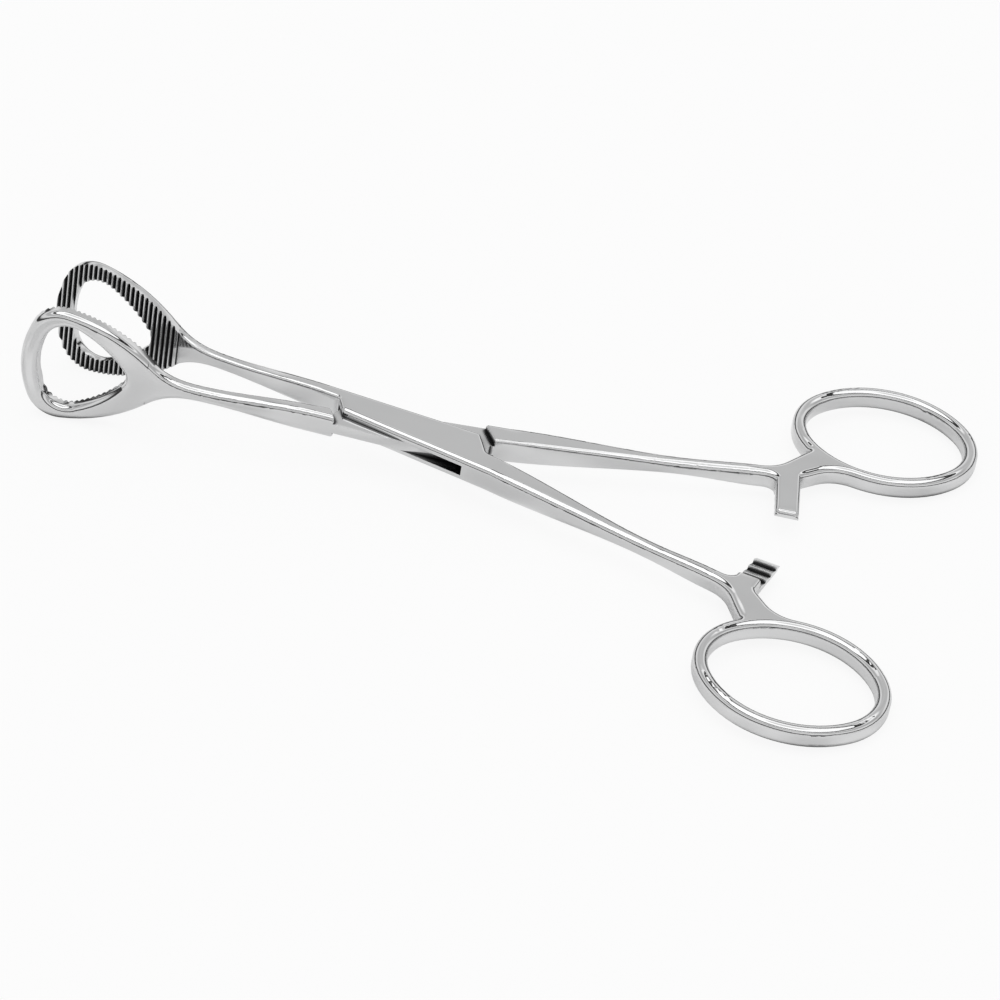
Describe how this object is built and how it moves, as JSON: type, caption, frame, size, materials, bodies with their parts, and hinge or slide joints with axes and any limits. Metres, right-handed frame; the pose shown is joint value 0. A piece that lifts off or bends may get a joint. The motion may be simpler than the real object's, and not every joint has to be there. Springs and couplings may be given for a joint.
{
  "type": "organ holding forceps",
  "caption": "Box-lock holding forceps with windowed, cross-serrated jaws, slim shanks, finger rings and a ratchet, in polished steel.",
  "frame": {"origin": "centre of the box lock, on the pin's axis at the middle of its height", "axes": "+X from the jaws to the finger rings along the middle line, +Z along the pin towards the face seen in the picture"},
  "size_m": [0.1743, 0.1108, 0.0238],
  "materials": {
    "polished_steel": "mirror polished stainless steel",
    "pin_steel": "ground and polished stainless steel"
  },
  "bodies": {
    "box_side": {"box_half": "polished_steel", "pivot_pin": "pin_steel"},
    "inner_side": {"inner_half": "polished_steel"}
  },
  "joints": [
    {"name": "box_lock", "type": "hinge", "parent": "box_side", "child": "inner_side", "pos_m": [0, 0, 0], "axis": [0, 0, 1], "range_deg": [-13, 20]}
  ]
}
